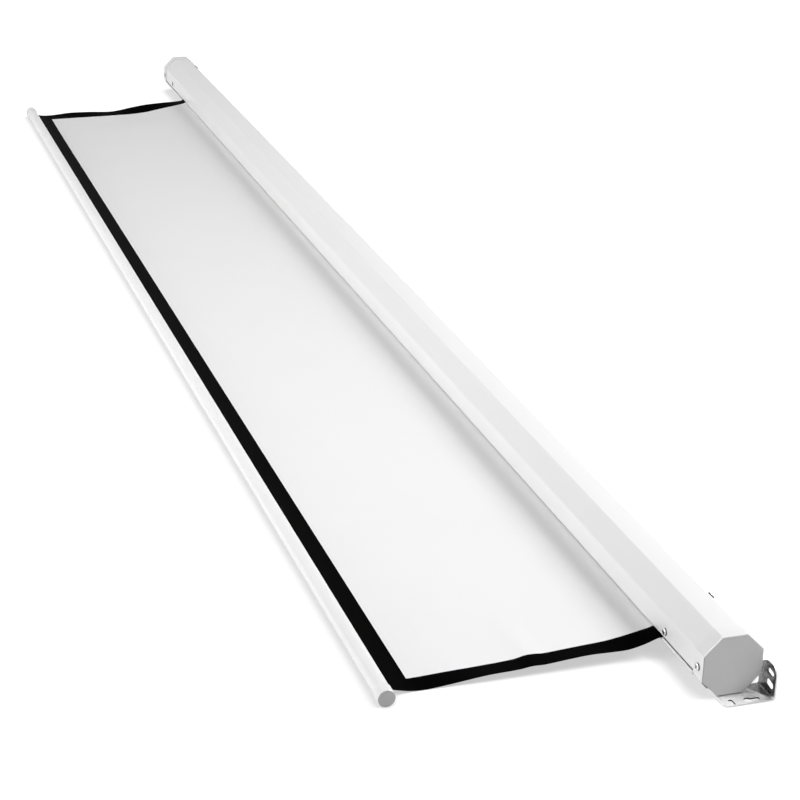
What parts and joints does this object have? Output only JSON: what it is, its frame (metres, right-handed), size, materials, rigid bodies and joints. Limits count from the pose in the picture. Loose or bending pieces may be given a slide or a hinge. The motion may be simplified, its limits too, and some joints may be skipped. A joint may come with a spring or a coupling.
{
  "type": "pull down projector screen",
  "caption": "Pull-down projector screen: octagonal white casing on two angle brackets, spring roller inside, black-bordered white fabric drawn a little way out to a round bottom bar.",
  "frame": {"origin": "centre of the bounding box on the plane that the brackets' wall flanges and the bar's caps rest on", "axes": "+X along the casing towards the idler end, +Y towards the ceiling side of the brackets, +Z away from the wall; the fabric comes out towards -Y"},
  "size_m": [2.568, 0.38, 0.0678],
  "materials": {
    "casing_paint": "satin white powder coat on rolled sheet steel",
    "cap_plastic": "satin moulded white plastic",
    "zinc_plate": "bright zinc-plated pressed steel",
    "screw_plate": "bright zinc-plated screws",
    "roller_steel": "plain galvanised tube",
    "plug_plastic": "matt moulded nylon",
    "spring_steel": "oiled spring steel",
    "screen_fabric": "matt white coated projection fabric",
    "border_fabric": "matt black border of the same coated fabric",
    "bar_paint": "satin white powder coat",
    "bar_plastic": "satin moulded white plastic"
  },
  "bodies": {
    "casing": {"casing_shell": "casing_paint", "end_cap_near": "cap_plastic", "end_cap_far": "cap_plastic", "bracket_near": "zinc_plate", "bracket_far": "zinc_plate", "roller_support_near": "zinc_plate", "roller_support_far": "zinc_plate", "bracket_rivet_near_1": "zinc_plate", "bracket_rivet_near_2": "zinc_plate", "bracket_rivet_far_1": "zinc_plate", "bracket_rivet_far_2": "zinc_plate", "cap_screw_front_near": "screw_plate", "cap_screw_lower_near": "screw_plate", "cap_screw_rear_near": "screw_plate", "support_screw_front_near": "screw_plate", "support_screw_upper_near": "screw_plate", "support_screw_lower_near": "screw_plate", "cap_screw_front_far": "screw_plate", "cap_screw_lower_far": "screw_plate", "cap_screw_rear_far": "screw_plate", "support_screw_front_far": "screw_plate", "support_screw_upper_far": "screw_plate", "support_screw_lower_far": "screw_plate", "idler_pin": "zinc_plate", "spring_spindle": "spring_steel", "ratchet_wheel": "zinc_plate", "spring_collar": "zinc_plate", "torsion_spring": "spring_steel", "screen_sheet": "screen_fabric", "side_border_near": "border_fabric", "side_border_far": "border_fabric"},
    "roller": {"roller_tube": "roller_steel", "idler_plug": "plug_plastic", "ratchet_plug": "plug_plastic", "pawl_pin_rear": "zinc_plate", "pawl_pin_front": "zinc_plate", "spring_anchor": "plug_plastic", "rolled_fabric": "screen_fabric"},
    "rear_pawl": {"pawl_rear": "spring_steel"},
    "front_pawl": {"pawl_front": "spring_steel"},
    "bottom_bar": {"bottom_border": "border_fabric", "hem_rod": "plug_plastic", "bottom_bar_tube": "bar_paint", "bar_cap_near": "bar_plastic", "bar_cap_far": "bar_plastic"}
  },
  "joints": [
    {"name": "bar_slide", "type": "slide", "parent": "casing", "child": "bottom_bar", "axis": [0, -1, 0], "range_m": [-0.275, 0.9625], "deforming": ["screen_sheet", "side_border_near", "side_border_far"]},
    {"name": "roller_spin", "type": "hinge", "parent": "casing", "child": "roller", "pos_m": [0, 0.15035, 0.0348], "axis": [1, 0, 0], "range_deg": [-2525, 725]},
    {"name": "rear_pawl_swing", "type": "hinge", "parent": "roller", "child": "rear_pawl", "pos_m": [-1.1808, 0.16385, 0.0348], "axis": [1, 0, 0], "range_deg": [0, 20]},
    {"name": "front_pawl_swing", "type": "hinge", "parent": "roller", "child": "front_pawl", "pos_m": [-1.1808, 0.13685, 0.0348], "axis": [1, 0, 0], "range_deg": [0, 20]}
  ],
  "couplings": [
    {"joint": "roller_spin", "follows": "bar_slide", "rad_per_m": -45.696}
  ]
}
